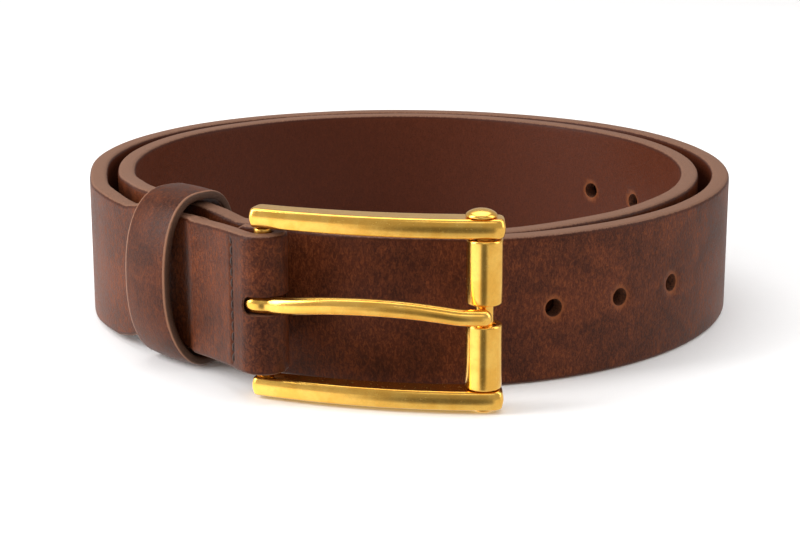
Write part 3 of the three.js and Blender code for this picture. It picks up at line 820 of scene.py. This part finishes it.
# Stitching
def stitch(start, end, face, radius, sink):
    """One visible stitch: it rises out of the leather, lies on it and goes back in."""
    line = []
    for s in range(11):
        u = s / 10
        rise = (1 - (2 * u - 1) ** 4) * sink
        line.append(mix(np.array(start), np.array(end), u) + np.array([*face, 0]) * (rise - sink))
    line = np.array(line)
    ways = directions(line)
    rings = []
    side = np.array([*face, 0])
    for k, (point, way) in enumerate(zip(line, ways)):
        plump = radius * (0.72 + 0.28 * math.sin(math.pi * k / 10))
        up = np.cross(way, side)
        up /= np.linalg.norm(up)
        out = np.cross(up, way)
        rings.append([point + (out * math.cos(a) + up * math.sin(a)) * plump
                      for a in np.arange(10) * 2 * math.pi / 10])
    return skin("stitch", end_rounds(np.array(rings), ways, [2 * radius * 0.7] * 11))


class BELT_OT_fold_stitching(bpy.types.Operator):
    """Sew the fold shut beside the buckle"""

    bl_idname = "belt.fold_stitching"
    bl_label = "Fold Stitching"

    def execute(self, context):
        sewing = context.scene.belt_thread
        pitch, radius = sewing.pitch / MM, sewing.radius / MM
        middle = FOLD["low"] + FOLD["wide"] / 2
        x, y = at_bar(sewing.along / MM, front_face() - SEWING["sunk"])
        stitches = []
        for place in range(sewing.count):
            z = middle + (place - (sewing.count - 1) / 2) * pitch
            half = pitch * SEWING["half"]
            stitches.append(stitch((x, y, z - half), (x, y, z + half), FACE, radius,
                                   SEWING["sink"]))
        mesh = joined("fold_stitching", stitches)
        new_piece("fold_stitching", mesh, [thread()], "strap",
                  ["fold_stitching"])
        return {"FINISHED"}


# Keeper
def loop_points(count):
    """Places round the keeper's outer face, in radius and height, from its seam at the back."""
    middle = (KEEPER["high"] + KEEPER["low"]) / 2
    half_high = (KEEPER["high"] - KEEPER["low"]) / 2
    points = []
    for a in np.linspace(0, 2 * math.pi, 1441):
        power = 2 / KEEPER["front_power" if math.cos(a) > 0 else "back_power"]
        points.append((KEEPER["middle"] + KEEPER["half"] * signed_power(math.cos(a), power),
                       middle + half_high * signed_power(math.sin(a), power)))
    line = np.array(points[720:] + points[1:721])
    gone = lengths(line)
    every = np.linspace(0, gone[-1], count, endpoint=False)
    return np.column_stack([np.interp(every, gone, line[:, k]) for k in (0, 1)]), gone[-1]


def keeper_mesh(corner):
    """The keeper's skin: a rounded strip bent into a loop and wrapped round the coil."""
    count = 220
    places, total = loop_points(count)
    ways = np.roll(places, -1, axis=0) - np.roll(places, 1, axis=0)
    ways /= np.linalg.norm(ways, axis=1, keepdims=True)
    inwards = np.column_stack([ways[:, 1], -ways[:, 0]])
    centre = places.mean(axis=0)
    inwards *= np.sign(((centre - places) * inwards).sum(axis=1))[:, None]
    middle = (KEEPER["high"] + KEEPER["low"]) / 2
    rings, lay, section = [], [], []
    for k in range(count + 1):
        place, inward = places[k % count], inwards[k % count]
        bottom = clamp01((middle - place[1]) / middle) ** 2
        rows = keeper_section(corner, bottom)
        seam = min(k, count - k) * total / count
        dent = 0.5 * math.exp(-(seam / 0.45) ** 2)
        lay.append(np.column_stack([rows[:, 0] * MM, np.full(len(rows), k * total / count * MM)]))
        section.append(rows[:, 2:4])
        if k == count:
            break
        depth = rows[:, 1] + np.where(rows[:, 2] > 0.9, dent, 0)
        at = place + depth[:, None] * inward
        at[:, 1] = np.maximum(at[:, 1], KEEPER["low"])
        travel = KEEPER["travel"] + np.degrees(rows[:, 0] / HELD["front"])
        rings.append([(*polar(t, r), z) for t, (r, z) in zip(travel, at)])
    return skin("keeper", rings, wrap=True, maps=(("Lay", lay), ("Section", section)))


def keeper_section(corner, bottom):
    """Rows of (along, depth, through, edge distance) round the strip's own section."""
    wall = KEEPER["wall"]
    left, right = KEEPER["long"] / 2, -KEEPER["long"] / 2 - KEEPER["splay"] * bottom
    arc = [math.radians(a) for a in (0, 30, 60, 90)]

    def outer_round(edge, way, turns):
        return [(edge - way * corner * (1 - math.sin(a)), corner * (1 - math.cos(a)),
                 math.cos(a) * 0.5 + 0.5, corner * (1 - math.sin(a))) for a in turns]

    def inner_round(edge, way, turns):
        return [(edge - way * corner * (1 - math.cos(a)), wall - corner * (1 - math.sin(a)),
                 -math.sin(a), corner * (1 - math.cos(a)) * 0.5) for a in turns]

    outer = []
    for along in np.linspace(right + corner, left - corner, 17):
        edge = min(along - right, left - along)
        line = 0.16 * math.exp(-((edge - 1.9) / 0.28) ** 2)
        bulge = KEEPER["bulge"] * (1 - ((2 * along - left - right) / (left - right)) ** 2)
        outer.append((along, line - bulge, 1.0, edge))
    inner = [(along, wall, -1.0, min(along - right, left - along))
             for along in np.linspace(left - corner, right + corner, 9)[1:-1]]
    return np.array([*outer, *outer_round(left, 1, arc[1:]), *inner_round(left, 1, arc), *inner,
                     *inner_round(right, -1, arc[::-1]), *outer_round(right, -1, arc[:0:-1])])


class BELT_OT_keeper(bpy.types.Operator):
    """Build the keeper, the leather loop that holds the strap's layers together"""

    bl_idname = "belt.keeper"
    bl_label = "Keeper"

    def execute(self, context):
        mesh = keeper_mesh(context.scene.belt_leather.edge_round * 0.7 / MM)
        new_piece("keeper", mesh, [keeper_leather()], "keeper", ["keeper"], 60)
        return {"FINISHED"}


class BELT_OT_keeper_stitching(bpy.types.Operator):
    """Lace the keeper's butt joint on its inner side"""

    bl_idname = "belt.keeper_stitching"
    bl_label = "Keeper Stitching"

    def execute(self, context):
        radius = context.scene.belt_thread.radius / MM
        back = KEEPER["middle"] - KEEPER["half"]
        lie, middle = back - radius - LACING["clear"], KEEPER["seam"] - LACING["drop"]
        corners = []
        for place in range(LACING["count"]):
            along = (place - (LACING["count"] - 1) / 2) * LACING["pitch"]
            x, y = polar(KEEPER["travel"] + math.degrees(along / back), lie)
            corners.append((x, y, middle + LACING["high"] * (0.5 if place % 2 else -0.5)))
        faces = polar(KEEPER["travel"], -1)
        crossings = [stitch(a, b, faces, radius, LACING["sink"])
                     for a, b in zip(corners, corners[1:])]
        mesh = joined("keeper_stitching", crossings)
        new_piece("keeper_stitching", mesh, [thread()], "keeper",
                  ["keeper_stitching"])
        return {"FINISHED"}


# Buckle
def arm_outline(inset):
    """The arm in plan: square-ended, bowed outwards between the hinge bar and the post."""
    chord = POST - BAR
    across = np.array([chord[1], -chord[0]]) / np.linalg.norm(chord)

    def place(u, ahead, aside):
        middle = BAR + chord * u + across * 4 * ARM["bow"] * u * (1 - u)
        way = chord + across * 4 * ARM["bow"] * (1 - 2 * u)
        way = way / np.linalg.norm(way)
        return middle + way * ahead + np.array([way[1], -way[0]]) * aside

    def half(u):
        return mix(ARM["left"], ARM["right"], u) - inset

    def cap(u, way, reach):
        turns = [math.pi * (i + 1) / 20 for i in range(19)]
        power = 2 / ARM["square"]
        return [place(u, way * (reach - inset) * math.sin(a) ** power,
                      way * signed_power(math.cos(a), power) * half(u))
                for a in turns]

    steps = [i / 40 for i in range(41)]
    return [*(place(u, 0, half(u)) for u in steps), *cap(1, 1, ARM["past_post"]),
            *(place(u, 0, -half(u)) for u in steps[::-1]), *cap(0, -1, ARM["past_bar"])]


def arm_mesh(name, low, high, bevel, crown):
    """A bar with rounded arrises and slightly crowned sides."""
    levels = [(bevel + 0.5, low)]
    turns = [math.radians(a) for a in (0, 22, 45, 68, 90)]
    levels += [(crown + bevel * (1 - math.sin(a)), low + bevel * (1 - math.cos(a))) for a in turns]
    tall = high - low - 2 * bevel
    for u in (0.2, 0.4, 0.6, 0.8):
        levels.append((crown * (2 * u - 1) ** 2, low + bevel + tall * u))
    levels += [(inset, low + high - z) for inset, z in levels[5::-1]]
    rings = [[(*point, z) for point in arm_outline(inset)] for inset, z in levels]
    return skin(name, rings)


def bore_cutter(centre, radius, low, high, sides=48):
    return lathe("cutter", [(radius, low), (radius, high)], centre, sides)


def build_arm(name, bevel, crown, socket, bore):
    low, high = span(name, 2)
    mesh = arm_mesh(name, low, high, bevel, crown)
    mesh.materials.append(brass_drawn())
    mesh = cut(mesh, [bore_cutter(BAR, PIN_RADIUS + PIN_PLAY, *socket),
                      bore_cutter(POST, BORE["arm"], *bore)])
    new_piece(name, mesh, [], "buckle_frame", [name], 32)


class BELT_OT_buckle_frame(bpy.types.Operator):
    """Build the buckle's two arms, its hinge bar and its riveted roller post"""

    bl_idname = "belt.buckle_frame"
    bl_label = "Buckle Frame"

    def execute(self, context):
        brass = context.scene.belt_brass
        bevel, crown = brass.bevel / MM, brass.crown / MM
        pin_low, pin_high = span("hinge_bar", 2)
        post_low, post_high = span("roller_post", 2)
        arm_low, arm_high = span("lower_arm", 2)[1], span("upper_arm", 2)[0]
        past = BORE["past"]
        build_arm("lower_arm", bevel, crown, (pin_low - GAP, arm_low + past),
                  (-past, arm_low + past))
        build_arm("upper_arm", bevel, crown, (arm_high - past, pin_high + GAP),
                  (arm_high - past, post_high + past))
        turned = brass_turned()
        pin = PIN_RADIUS
        bar = soft_corners([(0, pin_low), (pin, pin_low), (pin, arm_low + GAP),
                            (BAR_RADIUS, arm_low + GAP), (BAR_RADIUS, arm_high - GAP),
                            (pin, arm_high - GAP), (pin, pin_high), (0, pin_high)], 0.25)
        new_piece("hinge_bar", lathe("hinge_bar", bar, BAR), [turned], "buckle_frame",
                  ["hinge_bar"])
        new_piece("roller_post", post_mesh(post_low, post_high), [turned], "buckle_frame",
                  ["roller_post"], 55)
        return {"FINISHED"}


def post_mesh(low, high):
    """One rivet: its foot under the lower arm, the shank, and a domed head set off the shank."""
    under, top = span("lower_arm", 2)[0], span("upper_arm", 2)[1]
    wide, neck = POST_SHAPE["head"], POST_SHAPE["neck"]
    shank = soft_corners([(0, low), (POST_SHAPE["foot"], low), (POST_SHAPE["flare"], under - 0.12),
                          (POST_SHAPE["shank"], under), (POST_SHAPE["shank"], top + 0.4),
                          (0, top + 0.4)], 0.2)
    head = [(0, top + 0.12), (neck, top + 0.12), (wide - 0.08, top + 0.24), (wide, top + 0.4)]
    rise = high - top - 0.42
    for a in range(12, 90, 13):
        u = math.radians(a)
        head.append((wide * math.cos(u), top + 0.42 + rise * math.sin(u) ** 1.25))
    head.append((0, high))
    centre = POST + np.array([POST_SHAPE["aside"], 0])
    return joined("roller_post", [lathe("shank", shank, POST, 64), lathe("head", head, centre, 96)])


class BELT_OT_rollers(bpy.types.Operator):
    """Build the two brass rollers that turn on the post"""

    bl_idname = "belt.rollers"
    bl_label = "Rollers"

    def execute(self, context):
        brass, bore = context.scene.belt_brass, BORE["roller"]
        for name in ("lower_roller", "upper_roller"):
            low, high = span(name, 2)
            left, right = span(name, 0)
            radius = (right - left) / 2
            profile = soft_corners([(bore, low), (radius, low), (radius, high), (bore, high)],
                                   brass.rim_round / MM, closed=True)
            belly = [(r + 0.05 * math.sin(math.pi * clamp01((z - low) / (high - low))), z)
                     if r > bore + 1 else (r, z) for r, z in dense(profile)]
            mesh = lathe(name, belly, POST, 96, hollow=True)
            new_piece(name, mesh, [brass_turned()], name,
                      [name])
        return {"FINISHED"}


def dense(profile):
    """A closed profile with long straight runs divided."""
    line = []
    for a, b in zip(profile, profile[1:] + profile[:1]):
        steps = max(1, int(np.linalg.norm(b - a) / 2.5))
        line += [mix(a, b, s / steps) for s in range(steps)]
    return line


def prong_line():
    """The rod's middle line, its thickness and height: round the bar, then out to its tip."""
    rod, steps = PRONG["rod"], 6
    reach = BAR_RADIUS + BAR_ROOM + rod / 2
    wrap = [(BAR[0] + math.sin(t) * reach, BAR[1] - math.cos(t) * reach, PRONG_Z)
            for t in (math.radians(a) for a in range(-190, 0, 10))]
    points = wrap + [(BAR[0] + 1.2, BAR[1] - reach - 0.25, PRONG_Z)] + PRONG_LINE
    line = curve_through(points, steps)
    share = lengths(line)
    share = np.clip((share - share[len(wrap) * steps]) / PRONG["long"], 0, 1)
    thick = mix(rod, PRONG["thick"], smooth(np.clip(share * 5, 0, 1)))
    high = mix(PRONG["high"], PRONG["tip_high"], smooth(np.clip(share * 2 - 1, 0, 1)))
    return line, thick, high


class BELT_OT_prong(bpy.types.Operator):
    """Bend the prong from one rod, with its eye round the hinge bar"""

    bl_idname = "belt.prong"
    bl_label = "Prong"

    def execute(self, context):
        mesh = skin("prong", sweep(*prong_line(), PRONG["power"], sides=36))
        new_piece("prong", mesh, [brass_drawn()], "prong",
                  ["prong"])
        return {"FINISHED"}


# Stage
def area_light(name, place, size, power):
    """A soft light that looks at the middle of the belt."""
    lamp = bpy.data.lights.new(name, "AREA")
    lamp.shape, lamp.size, lamp.size_y = "RECTANGLE", *size
    lamp.energy = power
    made = bpy.data.objects.new(name, lamp)
    bpy.context.scene.collection.objects.link(made)
    made.location = place
    made.rotation_euler = (LIT - Vector(place)).to_track_quat("-Z", "Y").to_euler()


def floor_paper(tree, shader):
    """Pale paper with a little tooth."""
    tooth = noise_node(tree, object_place(tree), 400.0, 2.0)
    white = blend_colours(tree, tooth, (0.93, 0.93, 0.94, 1), (0.95, 0.95, 0.955, 1))
    feed(tree, shader.inputs, {"Base Color": white, "Roughness": 0.6})


class BELT_OT_stage(bpy.types.Operator):
    """Lay the pale floor, hang the soft lights and set up the camera"""

    bl_idname = "belt.stage"
    bl_label = "Stage"

    def execute(self, context):
        scene, stage = context.scene, context.scene.belt_stage
        scene.view_settings.view_transform = "Standard"
        mesh = bpy.data.meshes.new("floor")
        mesh.from_pydata([(x * FLOOR_REACH, y * FLOOR_REACH, 0)
                          for x, y in ((-1, -1), (1, -1), (1, 1), (-1, 1))], [], [(0, 1, 2, 3)])
        floor = bpy.data.objects.new("floor", mesh)
        scene.collection.objects.link(floor)
        mesh.materials.append(material("floor_paper", floor_paper))
        floor.visible_glossy = False
        self.surroundings(scene, stage)
        for name, (place, size) in LIGHTS.items():
            area_light(name, place, size, getattr(stage, name))
        self.camera(scene, stage)
        return {"FINISHED"}

    def surroundings(self, scene, stage):
        """A pale studio all round, darker on the side that the buckle faces."""
        scene.world = bpy.data.worlds.new("studio")
        scene.world.use_nodes = True
        tree = scene.world.node_tree
        way = add(tree, "ShaderNodeTexCoord").outputs["Generated"]
        parts = add(tree, "ShaderNodeSeparateXYZ", {0: way}).outputs
        under = band(tree, parts[2], -0.1, 0.0, 1.0, 0.0)
        left = math_node(tree, "MULTIPLY", band(tree, parts[0], -0.8, -0.2, 1.0, 0.0), under)
        tint = blend_colours(tree, under, (1.0, 0.98, 0.95, 1), (1.8, 1.75, 1.7, 1))
        tint = blend_colours(tree, left, tint, (3.6, 3.5, 3.4, 1))
        ahead = add(tree, "ShaderNodeVectorMath", {0: way, 1: (-0.1, -0.96, -0.26)},
                    operation="DOT_PRODUCT").outputs["Value"]
        ahead = band(tree, ahead, 0.90, 0.985)
        tint = blend_colours(tree, ahead, tint, rgb([stage.dark] * 3))
        sky = tree.nodes["Background"]
        tree.links.new(tint, sky.inputs["Color"])
        sky.inputs["Strength"].default_value = stage.fill

    def camera(self, scene, stage):
        lens = bpy.data.cameras.new("camera")
        lens.lens, lens.sensor_width, lens.sensor_fit = stage.lens, 36.0, "HORIZONTAL"
        lens.clip_start, lens.clip_end = 0.05, 20.0
        camera = bpy.data.objects.new("camera", lens)
        scene.collection.objects.link(camera)
        aim = np.array([COIL[0] * MM, COIL[1] * MM, 0]) + np.array(stage.aim)
        up = stage.elevation
        camera.location = aim + stage.distance * np.array([0, -math.cos(up), math.sin(up)])
        camera.rotation_euler = (math.pi / 2 - up, 0, 0)
        scene.camera = camera


# What a user may change
def length(name, description, default, **more):
    return FloatProperty(name=name, description=description, default=default * MM, unit="LENGTH",
                         subtype="DISTANCE", precision=5, **more)


def power(name, description, default):
    return FloatProperty(name=name, description=description, default=default, unit="POWER")


def colour(name, description, default):
    return FloatVectorProperty(name=name, description=description, default=default, size=3,
                               subtype="COLOR", min=0.0, max=1.0)


class BeltLeather(bpy.types.PropertyGroup):
    face_colour: colour("Face", "Dye of the grain face", (0.068, 0.0140, 0.0042))
    warm_colour: colour("Warm Streaks", "Where the dye has taken less", (0.210, 0.054, 0.0145))
    inner_colour: colour("Inner Face", "Dye of the inner face", (0.088, 0.0185, 0.0058))
    edge_colour: colour("Cut Edge", "Burnished cut edge", (0.215, 0.105, 0.064))
    # The light line painted along the keeper's arrises as a highlight.
    arris_highlight_colour: colour("Edge Line", "Light line painted along the arrises as a highlight", (0.270, 0.130, 0.075))
    roughness: FloatProperty(name="Roughness", description="Roughness of the waxed face",
                             default=0.42, min=0.0, max=1.0, subtype="FACTOR")
    grain_size: FloatProperty(name="Grain Size", description="Scale of the hide's grain",
                              default=1.0, min=0.2, max=5.0)
    edge_round: length("Edge Rounding", "Radius of the strap's arrises", 1.05)
    waver: length("Waver", "How far the strap strays from true", 0.14)
    hole_radius: length("Hole Radius", "Radius of the punched holes", 2.15)


class BeltThread(bpy.types.PropertyGroup):
    colour: colour("Thread", "Waxed thread", (0.034, 0.012, 0.006))
    radius: length("Thread Radius", "Half the thread's thickness", 0.34)
    pitch: length("Stitch Length", "Distance from hole to hole", 2.5)
    along: length("From Bar", "Distance of the stitch line from the hinge bar", 4.4)
    count: IntProperty(name="Stitches", description="Stitches across the fold", default=12, min=1)


class BeltBrass(bpy.types.PropertyGroup):
    colour: colour("Brass", "Colour of the polished brass", (0.94, 0.56, 0.12))
    shade_colour: colour("Shade", "Where the brass has dulled", (0.88, 0.48, 0.085))
    roughness: FloatProperty(name="Roughness", description="Least roughness of the satin finish",
                             default=0.16, min=0.0, max=1.0, subtype="FACTOR")
    bevel: length("Bevel", "Rounding of the arms' arrises", 0.8)
    crown: length("Crown", "How far the arms' sides bulge", 0.22)
    rim_round: length("Rim Rounding", "Rounding of the rollers' rims", 0.5)


class BeltStage(bpy.types.PropertyGroup):
    lens: FloatProperty(name="Lens", description="Focal length", default=87.93,
                        unit="CAMERA", min=10.0)
    elevation: FloatProperty(name="Elevation", description="Angle of view above the horizon",
                             default=math.radians(15), subtype="ANGLE", unit="ROTATION")
    distance: length("Distance", "From the camera to its aim", 520.46)
    aim: FloatVectorProperty(name="Aim", description="From the coil's foot to the camera's aim",
                             default=(-2.244 * MM, 0.0, 7.819 * MM), subtype="XYZ", unit="LENGTH")
    key: power("Key Light", "Tall soft light at the left", 9.0)
    side: power("Side Light", "Tall soft light at the right", 2.6)
    front: power("Front Light", "Small soft light above the camera", 0.5)
    top: power("Top Light", "Large soft light overhead", 8.0)
    fill: FloatProperty(name="Fill", description="Strength of the light from all round",
                        default=0.5, min=0.0)
    dark: FloatProperty(name="Dark Side", description="What is left of it on the buckle's side",
                        default=0.3, min=0.0, max=1.0, subtype="FACTOR")


class BELT_PT_panel(bpy.types.Panel):
    """Lists the belt's pieces and settings"""

    bl_idname = "BELT_PT_panel"
    bl_label = "Belt"
    bl_space_type = "VIEW_3D"
    bl_region_type = "UI"
    bl_category = "Belt"

    def draw(self, context):
        layout, scene = self.layout, context.scene
        for operator in OPERATORS:
            layout.operator(operator.bl_idname)
        for settings in (scene.belt_leather, scene.belt_thread, scene.belt_brass, scene.belt_stage):
            box = layout.box()
            for name in settings.__annotations__:
                box.prop(settings, name)


OPERATORS = (BELT_OT_stage, BELT_OT_strap, BELT_OT_fold_stitching, BELT_OT_keeper,
             BELT_OT_keeper_stitching, BELT_OT_buckle_frame, BELT_OT_rollers, BELT_OT_prong)
SETTINGS = {"belt_leather": BeltLeather, "belt_thread": BeltThread, "belt_brass": BeltBrass,
            "belt_stage": BeltStage}


def register():
    for made in (*SETTINGS.values(), *OPERATORS, BELT_PT_panel):
        bpy.utils.register_class(made)
    for name, settings in SETTINGS.items():
        setattr(bpy.types.Scene, name, PointerProperty(type=settings))


def unregister():
    for name in SETTINGS:
        delattr(bpy.types.Scene, name)
    for made in (BELT_PT_panel, *OPERATORS[::-1], *list(SETTINGS.values())[::-1]):
        bpy.utils.unregister_class(made)


def main():
    register()
    bpy.ops.belt.stage()
    bpy.ops.belt.strap()
    bpy.ops.belt.fold_stitching()
    bpy.ops.belt.keeper()
    bpy.ops.belt.keeper_stitching()
    bpy.ops.belt.buckle_frame()
    bpy.ops.belt.rollers()
    bpy.ops.belt.prong()


if __name__ == "__main__":
    main()
